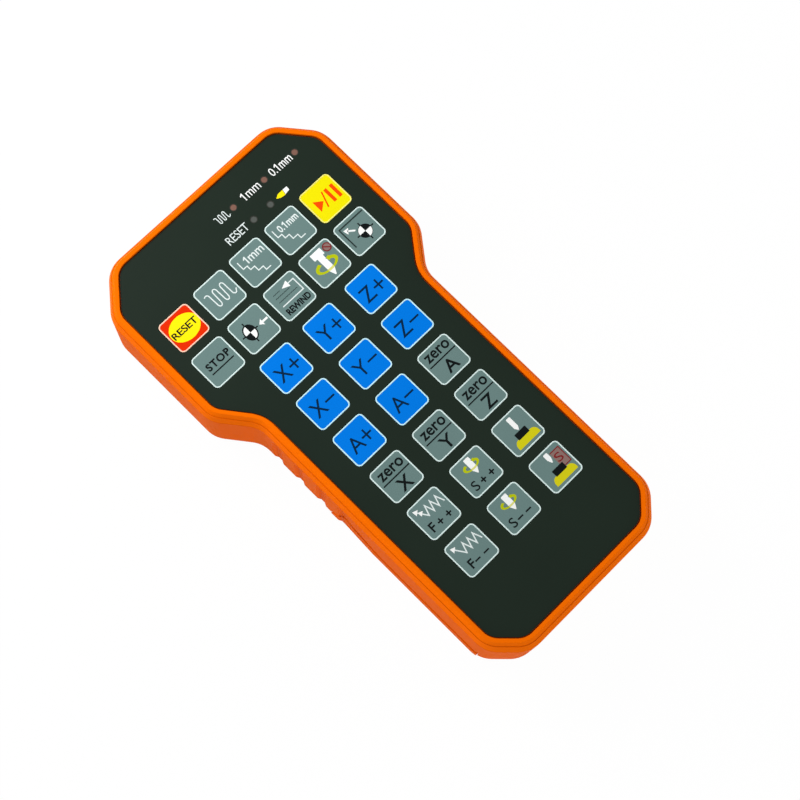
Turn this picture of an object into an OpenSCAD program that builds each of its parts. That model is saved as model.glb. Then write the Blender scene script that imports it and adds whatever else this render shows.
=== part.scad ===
// Wireless hand-held keypad pendant for a milling machine: a two-part moulded housing with a wide
// head, a narrow handle and grip ridges, a printed keypad overlay, twenty-eight keys over push
// switches on a circuit board, and two round cells under a hinged door in the back.
// X is to the right of the key face, Y towards the head and Z out of the key face.
// The origin is on the back face, midway along and across.

/* [Housing outline, at the top of the rim] */
// Length from tail to head
body_l = 171.2; // [155:0.1:210]
// Width of the head
head_w = 88.8; // [84:0.1:110]
// Width of the handle
handle_w = 70; // [68:0.1:76]
// Whole thickness, back face to rim
body_h = 30; // [30:0.1:38]
// Width of the cut head corners
head_cut_w = 10.9; // [8:0.1:13]
// Length of the cut head corners
head_cut_l = 12.9; // [8:0.1:16]
// Width of the cut tail corners
tail_cut_w = 9.1; // [6:0.1:12]
// Length of the cut tail corners
tail_cut_l = 9.1; // [6:0.1:9.5]
// Length from the tail to the narrow end of the neck
handle_l = 103.5; // [95:0.1:112]
// Length of the sloping neck
neck_l = 12; // [9:0.1:16]
// Radius of the outward corners
corner_r = 9; // [7:0.1:9.5]
// Radius of the inward bend where the neck meets the handle
neck_r = 9.7; // [8:0.1:14]

/* [Housing section] */
// Wall of both shells
wall = 2.2; // [1.8:0.1:2.6]
// Floor of the rear shell
floor_t = 2.2; // [1.8:0.1:2.6]
// Width of the raised rim around the overlay
rim_w = 2.5; // [2:0.1:3]
// Height of the rim above the overlay
rim_rise = 0.7; // [0.4:0.1:1]
// Width of the bevel along the rim's outer edge
rim_bevel_w = 0.9; // [0.5:0.05:1.1]
// Height of the bevel
rim_bevel_h = 1.5; // [0.8:0.1:2]
// Width of the ledge at the foot of the bevel
rim_ledge = 0.3; // [0.1:0.05:0.5]
// Radius of the rim's inner edge
rim_inner_r = 0.3; // [0.2:0.1:0.4]
// How far the sides flare out from the rim to the parting line
flare = 0.7; // [0.2:0.05:0.9]
// How much further out the tail end of the sides stands at the parting line
tail_swell = 0.5; // [0:0.05:0.8]
// Depth of the parting line below the rim
parting_drop = 4; // [3.6:0.1:4.6]
// Width of the V groove's bevels at the parting line
groove = 0.25; // [0.1:0.05:0.4]
// Radius of the back edge
back_r = 5; // [3:0.1:6]
// How far each side leans in from the parting line to the back edge
side_draft = 0.43; // [0:0.01:0.6]
// Thickness of the front shell's deck under the overlay
deck_t = 2.2; // [1.6:0.1:2.6]
// Thickness of the ribs inside the rear shell
rib_t = 1.2; // [0.8:0.1:1.6]
// Height of the ribs over the rear shell's floor
rib_h = 2.5; // [1:0.5:5]
// Distance from the middle to a lengthwise floor rib
rib_x = 12; // [8:0.5:20]
// Distance between two crosswise floor ribs in the head
rib_pitch = 19; // [14:0.5:24]
// Height of the gussets beside the bosses in the head
gusset_h = 8; // [4:0.5:9]
// Length of a gusset to each side of its boss
gusset_l = 9; // [6:0.5:10]
// Depth of the tongue that locates the front shell in the rear shell
tongue_h = 2; // [1:0.1:3]
// Thickness of the tongue
tongue_t = 1.2; // [0.8:0.1:1.6]

/* [Grip ridges] */
// Length from the tail to the first grip step
grip_start = 98.2; // [90:0.1:99]
// Distance from one grip step to the next
grip_pitch = 9.45; // [8:0.05:11]
// Number of grip steps on each side
grip_count = 4; // [3:1:5]
// Depth of a grip step
grip_depth = 0.95; // [0.4:0.05:1.1]
// Length of a step's steep side
grip_step = 1; // [0.8:0.1:1.6]
// Length of a step past its steep side
grip_ramp = 3.2; // [2:0.1:5]
// Length of the last step past its steep side
grip_run_out = 16.5; // [8:0.1:20]
// Length of the flat at the bottom of a step
grip_flat = 1.5; // [0.1:0.1:2]
// Distance from the parting line to the top of the grip steps
grip_top_gap = 1.4; // [1:0.1:4]
// Height over which the steps fade out at their top
grip_fade = 3; // [1:0.5:5]

/* [Overlay and keys] */
// Thickness of the keypad overlay
overlay_t = 0.6; // [0.4:0.1:0.8]
// Side of a key
key_w = 12.3; // [10:0.1:12.8]
// Side of the reset key
reset_w = 11.7; // [10:0.1:12.8]
// Corner radius of a key
key_r = 1.5; // [1:0.1:2]
// Travel of a key
key_travel = 0.3; // [0.2:0.05:0.4]
// Distance between the upper keys, both ways
upper_pitch = 15; // [14.6:0.05:15.5]
// Distance across between the lower keys
lower_pitch_x = 18; // [15:0.05:18.4]
// Distance along between the lower keys
lower_pitch_y = 15.67; // [14.8:0.01:16.2]
// Distance from the overlay's head end to the middle of the first row
first_row = 27.6; // [24:0.1:30]
// Distance from the second row to the third
block_gap = 15.75; // [15:0.05:18]
// Sideways place of the middle upper key
upper_x = -0.85; // [-1.5:0.05:1.5]
// Sideways place of the middle lower key
lower_x = 0.5; // [-1.5:0.05:1.5]
// How far a key's retaining flange reaches past its window
flange_reach = 0.55; // [0.4:0.05:0.6]
// Thickness of the retaining flange
flange_t = 0.8; // [0.6:0.1:1]
// Diameter of the stem under a key
stem_d = 4.2; // [3:0.1:5]
// Length of the stem under a key's flange
stem_l = 0.7; // [0.5:0.1:1.2]

/* [Push switches] */
// Side of a switch base
switch_w = 6; // [5:0.1:7]
// Height of a switch base
switch_h = 3.5; // [3:0.1:4]
// Diameter of a switch plunger
plunger_d = 3.4; // [2.5:0.1:3.8]
// How far a plunger stands out of its base
plunger_rise = 1.3; // [1:0.1:1.8]
// How far a plunger reaches down into its base
plunger_seat = 2.1; // [1.5:0.1:2.4]

/* [Indicator lamps] */
// Diameter of a lamp window
lamp_d = 2.4; // [1.6:0.1:3]
// Diameter of a light guide
guide_d = 2.8; // [2:0.1:3.4]
// Distance from the overlay's head end to the upper row of lamps
lamp_row_1 = 9.9; // [9:0.1:11]
// Distance from the upper row of lamps to the lower row
lamp_row_gap = 7.2; // [6:0.1:8]
// Sideways places of the three step lamps
step_lamps_x = [6.7, 19.8, 33];
// Sideways places of the two status lamps
status_lamps_x = [8.5, 15.6];

/* [Circuit board] */
// Thickness of the circuit board
board_t = 1.6; // [1:0.1:1.6]
// Distance from the rim's outline to the board's edge
board_inset = 4.4; // [4:0.1:5]
// Height of a lamp on the board
lamp_h = 1.1; // [0.8:0.1:1.6]
// Length of a lamp
lamp_l = 3.2; // [2:0.1:3.6]
// Width of a lamp
lamp_w = 1.6; // [1.2:0.1:2.4]
// Side of the microcontroller
chip_w = 10; // [7:0.5:12]
// Height of the microcontroller
chip_h = 1.4; // [1:0.1:1.6]
// Diameter of the crystal's round ends
crystal_d = 4.6; // [3.8:0.1:5]
// Length of the crystal's flat sides
crystal_l = 6; // [4:0.5:7]
// Height of the crystal
crystal_h = 3.4; // [2:0.1:4]
// Diameter of a capacitor
capacitor_d = 5; // [4:0.5:6]
// Height of a capacitor
capacitor_h = 7; // [5:0.5:8]
// Side of the inductor
inductor_w = 7; // [5:0.5:8]
// Height of the inductor
inductor_h = 3; // [2:0.1:4]
// Length of the radio board
radio_l = 18; // [16:0.5:19]
// Width of the radio board
radio_w = 12; // [11:0.5:13]
// Thickness of the radio board
radio_t = 0.8; // [0.6:0.1:1]
// Height of the shield over the radio
shield_h = 2; // [1.4:0.1:2.2]
// Diameter of a radio pin
pin_d = 0.8; // [0.5:0.1:1]
// Distance between two radio pins
pin_pitch = 2.54; // [2:0.01:2.54]
// Distance from the radio board's end to its pins
pin_inset = 1.5; // [1:0.1:2]
// How far a pin stands out past the board that it is soldered to
pin_end = 1; // [0.5:0.1:1.2]
// Bare edge of the radio board around its shield
shield_edge = 1.5; // [1:0.1:2.5]

/* [Battery bay and door] */
// Diameter of a cell
cell_d = 14.5; // [12:0.1:14.5]
// Length of a cell over its button
cell_l = 50.5; // [48:0.1:50.5]
// Length of a cell's button
button_l = 1.3; // [1:0.1:1.6]
// Diameter of a cell's button
button_d = 5.4; // [4.5:0.1:6]
// Step round the edge of a cell's flat end
cell_edge = 0.6; // [0.3:0.1:1]
// Gap between the two cells
cell_gap = 0.7; // [0.5:0.1:1.5]
// Inside length of the bay
bay_l = 55.6; // [54:0.1:56.2]
// Thickness of the bay's walls
bay_wall = 1.4; // [1:0.1:1.8]
// Thickness of the bay's roof
bay_roof_t = 1; // [0.8:0.1:1.4]
// Distance from the bay's head end to the door's free end
bay_inset = 1; // [0.5:0.1:1.2]
// Distance from the tail to the door's hinge edge
door_start = 10.1; // [9.6:0.1:12]
// Length of the door
door_l = 63; // [62.4:0.1:76]
// Height of the door's sides
door_h = 10.3; // [7:0.1:11]
// Thickness of the door
door_t = 2; // [1.6:0.1:2.2]
// How far the door's sides stand out past the rear shell's
door_proud = 0.25; // [0:0.05:0.4]
// Height of the shadow line cut along the edge of the door's sides
seam_h = 0.9; // [0.4:0.1:1.5]
// Depth of the shadow line
seam_depth = 0.6; // [0.3:0.1:1]
// Corner radius at the free end of the door's sides
door_corner_r = 6; // [5:0.1:6.5]
// Width of a hinge hook
hook_w = 7; // [5:0.1:8]
// Distance from the middle to a hinge hook
hook_x = 6.5; // [5:0.1:8]
// Thickness of a hinge hook
hook_t = 1.6; // [1.2:0.1:2]
// Reach of a hinge hook past the door's edge
hook_reach = 2.6; // [2:0.1:3]
// Length of a hinge hook's root on the door
hook_root = 2.6; // [2:0.1:2.8]
// Distance from the middle to a rib inside the door
door_rib_x = 22; // [19:0.5:24]
// Height of a rib inside the door
door_rib_h = 3; // [2:0.5:5]
// Thickness of a rib inside the door
door_rib_t = 1.2; // [0.8:0.1:1.6]
// Diameter of the thumb scoop at the door's free end
scoop_d = 20; // [16:0.5:24]
// Depth of the thumb scoop
scoop_depth = 1; // [0.6:0.1:1.2]
// Number of finger grooves in the door
finger_grooves = 5; // [3:1:6]
// Length of the longest finger groove
groove_l = 18; // [12:0.5:22]
// Width of a finger groove
groove_w = 1; // [0.6:0.1:1.2]
// Depth of a finger groove
groove_depth = 0.5; // [0.3:0.1:0.8]
// Width of a contact plate
plate_w = 11; // [9:0.1:11.5]
// Thickness of a contact plate
plate_t = 0.4; // [0.3:0.05:0.5]
// Width of a contact's tail
tail_w = 3; // [2:0.1:4]
// Wire of the cell springs
spring_wire = 0.7; // [0.5:0.05:0.8]
// Wide end radius of a cell spring
spring_wide_r = 4.6; // [4:0.1:4.8]
// Narrow end radius of a cell spring
spring_narrow_r = 2.4; // [2:0.1:3]
// Turns of a cell spring
spring_turns = 3; // [2:1:4]

/* [Fasteners] */
// Diameter of the case screws
screw_d = 3; // [2.5:0.1:3.2]
// Head diameter of the case screws
screw_head_d = 5.6; // [5:0.1:6]
// Head height of the case screws
screw_head_h = 2; // [1.5:0.1:2]
// Length of the case screws under the head
screw_l = 12; // [9:0.5:13]
// Thickness of a boss between a case screw's head and the front shell's post
screw_grip = 5.6; // [4.5:0.1:5.7]
// Diameter of the posts that the case screws enter
post_d = 7; // [6:0.1:7.4]
// Diameter of the bosses that the case screws pass through
boss_d = 8.4; // [7.6:0.1:9]
// Diameter of the circuit board screws
board_screw_d = 2.4; // [2:0.1:2.6]
// Head diameter of the circuit board screws
board_head_d = 4.4; // [3.6:0.1:4.8]
// Head height of the circuit board screws
board_head_h = 1.6; // [1.2:0.1:1.8]
// Length of the circuit board screws under the head
board_screw_l = 6; // [4:0.5:6.5]
// Diameter of the posts that the circuit board screws enter
board_post_d = 5.5; // [4.6:0.1:5.6]
// Width of the slots in a screw's head
drive_slot_w = 0.8; // [0.5:0.1:1]

/* [Clearances] */
// Gap around a key in the overlay
key_gap = 0.12; // [0.1:0.01:0.2]
// Gap around the overlay inside the rim
overlay_gap = 0.4; // [0.1:0.05:0.5]
// Gap around a key's body in the deck
window_gap = 0.25; // [0.2:0.01:0.3]
// Running gap around a switch plunger
plunger_gap = 0.05; // [0.03:0.01:0.1]
// Gap between a key's stem and its switch plunger
stem_gap = 0.04; // [0.02:0.01:0.05]
// Seam around the battery door
door_gap = 0.3; // [0.25:0.01:0.4]
// Gap between parts that are laid in place
seat_gap = 0.1; // [0.05:0.01:0.15]
// Gap around the front shell's tongue
tongue_gap = 0.15; // [0.1:0.01:0.2]
// Gap around a case screw's head and where the screw passes through its boss
screw_gap = 0.3; // [0.2:0.05:0.4]
// Gap around a hinge hook in its slot
hook_gap = 0.5; // [0.3:0.1:0.8]
// Play around the cells in the bay
cell_play = 0.5; // [0.3:0.1:0.5]

/* [Hidden] */
$fn = 48;
arc_steps = 8;       // facets round each corner of the outline
overcut = 1;         // how far a cut runs past the faces that it opens
bite = 0.1;          // how far two forms of one solid run into each other

// Heights above the back face
face_z = body_h - rim_rise;
deck_z = face_z - overlay_t;
deck_low_z = deck_z - deck_t;
parting_z = body_h - parting_drop;
flange_z = deck_low_z - 2 * seat_gap - flange_t;
stem_z = flange_z - stem_l;
board_z = stem_z - plunger_rise - switch_h;
board_low_z = board_z - board_t;
post_low_z = board_low_z - 4 * seat_gap;
screw_seat = post_low_z - screw_grip;

// Places along the body
tail_y = -body_l / 2;
overlay_top_y = body_l / 2 - rim_w;
row_1_y = overlay_top_y - first_row;
row_3_y = row_1_y - upper_pitch - block_gap;
lamp_y = overlay_top_y - lamp_row_1;
neck_low_y = tail_y + handle_l;
grip_y = tail_y + grip_start;
hinge_y = tail_y + door_start;
door_end_y = hinge_y + door_l;

// Battery bay
cell_x = (cell_d + cell_gap) / 2;
bay_half_w = cell_d + cell_gap / 2 + cell_play;
cell_z = door_t + cell_play + cell_d / 2;
bay_roof_z = cell_z + cell_d / 2 + 2 * seat_gap;
bay_top_z = bay_roof_z + bay_roof_t;
bay_y1 = door_end_y - bay_inset;
bay_y0 = bay_y1 - bay_l;
screw_end_gap = 0.5;
ledge_t = 1.8;
ledge_z = door_h + ledge_t;
bulkhead_t = 1.8;
spring_l = bay_l - 2 * plate_t - cell_l;
hook_z = door_t + door_gap;
contact_half_h = 5.5;
tail_lap = 2;        // how far a contact's tail starts below the bay's roof
tail_end = 0.8;      // how far it ends above the board that it is soldered to

// Screw places: x, y, and whether the boss starts at the ledge under the door
case_screws_at = [[35.5, row_1_y + 11, 0], [30.5, neck_low_y + 9, 0], [28.2, hinge_y + 5.6, 1]];
board_screws_at = [[26, lamp_y - 3.2], [28.6, neck_low_y - 16.8], [22.6, hinge_y + 11.3]];

// Places of the parts under the board, which the rows of keys carry along
chip_at = [0, row_1_y - 7];
crystal_at = [12, row_1_y - 7];
capacitors_at = [[-14, row_1_y - 7], [-21, row_1_y - 7]];
inductor_at = [20, row_1_y - 26];

// The radio module stands on a row of pins above the board, beside the lamps
radio_x = -18.5;
radio_y = lamp_y - 8;
radio_z = board_z + 1.5;

function col_x(c) = lower_x + c * lower_pitch_x;
function row_y(r) = row_3_y - r * lower_pitch_y;
function upper_key_x(c) = upper_x + (c - 2) * upper_pitch;

// Every key: node name, x, y, side and colour
GREY = "#73857e";
BLUE = "#0a7dff";
upper_names = [["key_reset", "key_jog_wave", "key_step_1mm", "key_step_01mm", "key_play_pause"],
               ["key_stop", "key_goto_datum", "key_rewind", "key_spindle", "key_home"]];
lower_names = [["key_x_plus", "key_y_plus", "key_z_plus"], ["key_x_minus", "key_y_minus", "key_z_minus"],
               ["key_a_plus", "key_a_minus", "key_zero_a"], ["key_zero_x", "key_zero_y", "key_zero_z"],
               ["key_feed_up", "key_spindle_up", "key_probe"],
               ["key_feed_down", "key_spindle_down", "key_probe_auto"]];
function key_colour(name, row, col) =
    name == "key_reset" ? "red" : name == "key_play_pause" ? "yellow" :
    (row < 2 || (row == 2 && col < 2)) ? BLUE : GREY;
KEYS = concat(
    [for (r = [0:1]) for (c = [0:4])
        let (name = upper_names[r][c])
        [name, upper_key_x(c), row_1_y - r * upper_pitch, name == "key_reset" ? reset_w : key_w,
         key_colour(name, 9, c)]],
    [for (r = [0:5]) for (c = [0:2])
        [lower_names[r][c], col_x(c - 1), row_y(r), key_w, key_colour(lower_names[r][c], r, c)]]);

LAMPS = concat([for (x = step_lamps_x) [x, lamp_y]],
               [for (x = status_lamps_x) [x, lamp_y - lamp_row_gap]]);

// ---------- the housing's outline ----------

// Corner points of the right side, tail to head, each with its radius: below 0 bends inward
OUTLINE = [[handle_w / 2 - tail_cut_w, tail_y, corner_r],
           [handle_w / 2, tail_y + tail_cut_l, corner_r],
           [handle_w / 2, neck_low_y, -neck_r],
           [head_w / 2, neck_low_y + neck_l, corner_r],
           [head_w / 2, body_l / 2 - head_cut_l, corner_r],
           [head_w / 2 - head_cut_w, body_l / 2, corner_r]];

function xy(p) = [p[0], p[1]];
function heading(a, b) = atan2(b[1] - a[1], b[0] - a[0]);
function along(angle) = [cos(angle), sin(angle)];

// Points of one rounded corner, moved outward by out; the centre stays where it is
function corner_points(before, corner, after, out) =
    let (a1 = heading(before, xy(corner)), a2 = heading(xy(corner), after),
         bend = corner[2] > 0 ? 1 : -1, r = abs(corner[2]),
         centre = xy(corner) - along(a1) * r * tan(abs(a2 - a1) / 2) + along(a1 + 90) * r * bend)
    [for (i = [0:arc_steps])
        centre + (r + bend * out) * along(a1 + (a2 - a1) * i / arc_steps - 90 * bend)];

function right_side(out) =
    let (n = len(OUTLINE), swell = tail_swell * max(0, out) / flare)
    [for (i = [0:n - 1])
        let (before = i == 0 ? [-1, tail_y] : xy(OUTLINE[i - 1]),
             after = i == n - 1 ? [-1, body_l / 2] : xy(OUTLINE[i + 1]))
        for (p = corner_points(before, OUTLINE[i], after, out)) i < 2 ? p - [0, swell] : p];

function outline(out) =
    let (right = right_side(out), n = len(right))
    concat(right, [for (i = [n - 1:-1:0]) [-right[i][0], right[i][1]]]);

module outline_slab(out, z0, z1) {
    translate([0, 0, z0]) linear_extrude(z1 - z0) polygon(outline(out));
}

// A solid skinned over outlines at [outward offset, height], from the bottom up
module moulded(profile) {
    rings = [for (p = profile) [for (q = outline(p[0])) [q[0], q[1], p[1]]]];
    skin(rings);
}

// A solid skinned over closed rings that are mirrored about X = 0 or convex
module skin(rings) {
    n = len(rings[0]);
    top = (len(rings) - 1) * n;
    caps = [for (i = [0:n / 2 - 2]) [i, i + 1, n - 2 - i, n - 1 - i]];
    polyhedron(
        points = [for (ring = rings) each ring],
        faces = concat(
            caps,
            [for (c = caps) [for (i = [3:-1:0]) c[i] + top]],
            [for (k = [0:len(rings) - 2]) for (i = [0:n - 1])
                let (a = k * n + i, b = k * n + (i + 1) % n)
                [a, a + n, b + n, b]]));
}

// ---------- sections of the two shells ----------

function side_out(z) = flare - side_draft * (parting_z - z) / (parting_z - back_r);

// The corner at p between a and b, rounded over the length d of each side
function eased(a, p, b, d) =
    let (from = p + (a - p) * d / norm(a - p), to = p + (b - p) * d / norm(b - p))
    [from, (from + 2 * p + to) / 4, to];

floor_r = back_r - floor_t;
rear_profile = concat(
    [for (a = [0:15:90]) [side_out(back_r) - back_r * (1 - sin(a)), back_r * (1 - cos(a))]],
    [[flare, parting_z - groove], [flare - groove, parting_z]]);
rear_inside = concat(
    [for (a = [0:30:90])
        [side_out(back_r) - wall - floor_r * (1 - sin(a)), floor_t + floor_r * (1 - cos(a))]],
    [[flare - wall, parting_z + overcut]]);
ledge_edge_z = body_h - rim_bevel_h;
bevel_ease = 0.25;   // how far the bevel's upper edge is rounded to each side
front_profile = concat(
    [[flare - groove, parting_z], [flare, parting_z + groove], [0, ledge_edge_z - groove],
     [-rim_ledge / 3, ledge_edge_z], [-rim_ledge, ledge_edge_z]],
    eased([-rim_ledge, ledge_edge_z], [-rim_ledge - rim_bevel_w, body_h], [-rim_w, body_h], bevel_ease),
    [for (a = [0:45:90]) [-rim_w + rim_inner_r * (1 - sin(a)), body_h - rim_inner_r * (1 - cos(a))]],
    [[-rim_w, deck_z]]);
// The same sides as the rear shell's, a little further out
door_profile = [for (p = rear_profile) p + [door_proud, 0]];
tongue_out = flare - wall - tongue_gap;
door_side_in = side_out(back_r) - wall;

// Grip steps down both sides of the handle, in sides that stand out by proud
module grip_steps(proud) {
    top_z = parting_z - grip_top_gap;
    levels = [[-overcut, grip_depth], [top_z - grip_fade, grip_depth], [top_z, bite / 2]];
    for (side = [0, 1]) mirror([side, 0, 0])
        for (i = [0:grip_count - 1]) {
            y = grip_y - i * grip_pitch;
            y_low = y - grip_step - (i == grip_count - 1 ? grip_run_out : grip_ramp);
            skin([for (level = levels)
                let (z = level[0], side_x = handle_w / 2 + side_out(z) + proud,
                     in_x = side_x - level[1], out_x = side_x + overcut)
                [[out_x, y_low, z], [out_x, y, z], [side_x, y, z], [in_x, y - grip_step, z],
                 [in_x, y - grip_step - grip_flat, z], [side_x, y_low, z]]]);
        }
}

module rounded_square(w, r) {
    square([w, w - 2 * r], center = true);
    square([w - 2 * r, w], center = true);
    for (x = [-1, 1]) for (y = [-1, 1]) translate([x, y] * (w / 2 - r)) circle(r);
}

module rounded_block(x, y, w, r, z0, z1) {
    translate([x, y, z0]) linear_extrude(z1 - z0) rounded_square(w, r);
}

module both_sides(places) {
    for (p = places) for (side = [-1, 1]) translate([side * p[0], p[1], 0]) children();
}

module rod(d, z0, z1) {
    translate([0, 0, z0]) cylinder(d = d, h = z1 - z0);
}

module block(x0, x1, y0, y1, z0, z1) {
    translate([x0, y0, z0]) cube([x1 - x0, y1 - y0, z1 - z0]);
}

// ---------- housing ----------

module front_shell() {
    color("#ff7a00") difference() {
        union() {
            difference() {
                union() {
                    moulded(front_profile);
                    outline_slab(tongue_out, parting_z - tongue_h, parting_z + bite);
                }
                outline_slab(tongue_out - tongue_t, parting_z - tongue_h - overcut, deck_low_z);
            }
            both_sides(case_screws_at) rod(post_d, post_low_z, deck_low_z + bite);
            both_sides(board_screws_at) rod(board_post_d, board_z + seat_gap / 2, deck_low_z + bite);
        }
        for (k = KEYS)
            rounded_block(k[1], k[2], k[3] + 2 * window_gap, key_r + window_gap,
                          deck_low_z - overcut, deck_z + overcut);
        for (p = LAMPS)
            translate([p[0], p[1], 0]) rod(guide_d + 2 * plunger_gap, deck_low_z - overcut, deck_z + overcut);
        both_sides(case_screws_at)
            rod(screw_d + seat_gap, post_low_z - overcut, screw_seat + screw_l + screw_end_gap);
        both_sides(board_screws_at)
            rod(board_screw_d + seat_gap, board_z - overcut, board_low_z + board_screw_l + screw_end_gap);
    }
}

// The slab of the housing that the battery door takes up, drawn in by gap all round
module door_space(gap) {
    y0 = hinge_y + gap;
    y1 = door_end_y - gap;
    z1 = door_h - gap;
    r = door_corner_r;
    rotate([90, 0, 90]) translate([0, 0, -handle_w]) linear_extrude(2 * handle_w) {
        translate([y0, -overcut]) square([y1 - y0, z1 - r + overcut]);
        translate([y0, -overcut]) square([y1 - y0 - r, z1 + overcut]);
        translate([y1 - r, z1 - r]) circle(r);
    }
}

module hook_slots() {
    for (side = [-1, 1])
        block(side * hook_x - hook_w / 2 - hook_gap, side * hook_x + hook_w / 2 + hook_gap,
              hinge_y - bulkhead_t - overcut, hinge_y + overcut,
              door_t, hook_z + hook_t + hook_reach + hook_gap);
}

module thumb_scoop() {
    translate([0, door_end_y, -overcut]) cylinder(d = scoop_d, h = scoop_depth + overcut);
}

// Low ribs over the floor past the battery bay, and gussets beside the bosses in the head
module floor_ribs(bosses) {
    x_end = head_w / 2;
    intersection() {
        outline_slab(door_side_in + bite, floor_t - bite, floor_t + gusset_h);
        union() {
            for (side = [-1, 1])
                block(side * rib_x - rib_t / 2, side * rib_x + rib_t / 2, door_end_y, body_l / 2,
                      0, floor_t + rib_h);
            for (y = [neck_low_y + neck_l:rib_pitch:body_l / 2 - head_cut_l])
                block(-x_end, x_end, y - rib_t / 2, y + rib_t / 2, 0, floor_t + rib_h);
            both_sides(bosses)
                block(-gusset_l, gusset_l, -rib_t / 2, rib_t / 2, 0, floor_t + gusset_h);
        }
    }
}

// The ledge over the door, and the bulkheads that close the shell at the door's two ends
module door_frame() {
    difference() {
        intersection() {
            outline_slab(door_side_in + bite, door_t, ledge_z);
            block(-handle_w, handle_w, hinge_y - bulkhead_t, door_end_y + bulkhead_t, 0, ledge_z);
        }
        door_space(0);
    }
}

module rear_shell() {
    head_bosses = [for (p = case_screws_at) if (p[2] == 0) p];
    ledge_bosses = [for (p = case_screws_at) if (p[2] == 1) p];
    boss_top_z = post_low_z - seat_gap;
    color("#e8743a") difference() {
        union() {
            difference() {
                moulded(rear_profile);
                moulded(rear_inside);
                door_space(0);
            }
            door_frame();
            block(-bay_half_w - bay_wall, bay_half_w + bay_wall, bay_y0 - bay_wall, bay_y1 + bay_wall,
                  door_t + door_gap, bay_top_z);
            floor_ribs(head_bosses);
            both_sides(head_bosses) rod(boss_d, floor_t - bite, boss_top_z);
            both_sides(ledge_bosses) rod(boss_d, door_h, boss_top_z);
        }
        block(-bay_half_w, bay_half_w, bay_y0, bay_y1, 0, bay_roof_z);
        both_sides(case_screws_at) {
            rod(screw_head_d + 2 * screw_gap, -overcut, screw_seat);
            rod(screw_d + screw_gap, screw_seat - overcut, post_low_z + overcut);
        }
        hook_slots();
        contact_tails(screw_gap);
        grip_steps(0);
        thumb_scoop();
    }
}

module door_hooks() {
    for (side = [-1, 1]) {
        x0 = side * hook_x - hook_w / 2;
        block(x0, x0 + hook_w, hinge_y - hook_reach, hinge_y + hook_root, hook_z, hook_z + hook_t);
        block(x0, x0 + hook_w, hinge_y + door_gap, hinge_y + hook_root, door_t - bite, hook_z + bite);
    }
}

// Stiffening ribs along the door, outside the bay's walls
module door_ribs() {
    for (side = [-1, 1])
        block(side * door_rib_x - door_rib_t / 2, side * door_rib_x + door_rib_t / 2,
              hinge_y + hook_root, door_end_y - hook_root, door_t - bite, door_t + door_rib_h);
}

// Finger grooves that shorten away from the thumb scoop
module finger_groove_cuts() {
    for (i = [0:finger_grooves - 1]) {
        half = groove_l / 2 - groove_w * i;
        y = door_end_y - scoop_d / 2 - 2 * groove_w * (i + 1);
        block(-half, half, y, y + groove_w, -overcut, groove_depth);
    }
}

// The shadow line that runs along the upper edge of the door's sides
module seam_cut() {
    difference() {
        block(-handle_w, handle_w, hinge_y, door_end_y, door_h - door_gap - seam_h, door_h + overcut);
        outline_slab(side_out(back_r) - seam_depth, 0, door_h + 2 * overcut);
    }
}

module battery_door() {
    color("#e8743a") difference() {
        union() {
            intersection() {
                difference() {
                    moulded(door_profile);
                    outline_slab(door_side_in, back_r, parting_z + overcut);
                    outline_slab(door_side_in - floor_r / 2, door_t, back_r + overcut);
                }
                door_space(door_gap);
            }
            door_hooks();
            door_ribs();
        }
        seam_cut();
        grip_steps(door_proud);
        thumb_scoop();
        finger_groove_cuts();
    }
}

// ---------- overlay, lamps and keys ----------

module overlay() {
    color("#262b28") translate([0, 0, deck_z]) linear_extrude(overlay_t) difference() {
        polygon(outline(-rim_w - overlay_gap));
        for (k = KEYS)
            translate([k[1], k[2]]) rounded_square(k[3] + 2 * key_gap, key_r + key_gap);
        for (p = LAMPS) translate([p[0], p[1]]) circle(d = lamp_d + seat_gap);
    }
}

module lamp_windows(places) {
    for (p = places) translate([p[0], p[1], 0]) rod(lamp_d, deck_z, face_z - seat_gap);
}

module step_lamp_windows() {
    color("#7d5550") lamp_windows([for (i = [0:2]) LAMPS[i]]);
}

module status_lamp_windows() {
    color("#4c524f") lamp_windows([for (i = [3:4]) LAMPS[i]]);
}

module light_guides() {
    color("white", 0.6) for (p = LAMPS)
        translate([p[0], p[1], 0]) rod(guide_d, board_z + lamp_h + seat_gap, deck_z - seat_gap / 2);
}

module lamps() {
    color("ivory") for (p = LAMPS)
        block(p[0] - lamp_l / 2, p[0] + lamp_l / 2, p[1] - lamp_w / 2, p[1] + lamp_w / 2,
              board_z, board_z + lamp_h);
}

// A printed key pad in its overlay window, its body and flange in the deck, and its stem, with the
// switch plunger that it stands on as a second solid
module key_piece(k) {
    x = k[1];
    y = k[2];
    w = k[3];
    color(k[4]) {
        rounded_block(x, y, w, key_r, flange_z + flange_t, face_z);
        rounded_block(x, y, w + 2 * flange_reach, key_r + flange_reach, flange_z, flange_z + flange_t);
        translate([x, y, 0]) rod(stem_d, stem_z, flange_z);
        translate([x, y, 0]) rod(plunger_d, board_z + switch_h - plunger_seat, stem_z - stem_gap);
    }
}

module switch_bases() {
    bore_low_z = board_z + switch_h - plunger_seat - key_travel - 2 * seat_gap;
    color("#2e2e30") for (k = KEYS) translate([k[1], k[2], 0]) difference() {
        block(-switch_w / 2, switch_w / 2, -switch_w / 2, switch_w / 2, board_z, board_z + switch_h);
        rod(plunger_d + 2 * plunger_gap, bore_low_z, board_z + switch_h + overcut);
    }
}

// ---------- electronics ----------

module circuit_board() {
    color("#1f6b3a") difference() {
        outline_slab(-board_inset, board_low_z, board_z);
        both_sides(case_screws_at) rod(post_d + 2 * hook_gap, board_low_z - overcut, board_z + overcut);
        both_sides(board_screws_at) rod(board_screw_d + screw_gap, board_low_z - overcut, board_z + overcut);
        contact_tails(screw_gap);
        radio_pin_rods(2 * seat_gap);
    }
}

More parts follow.
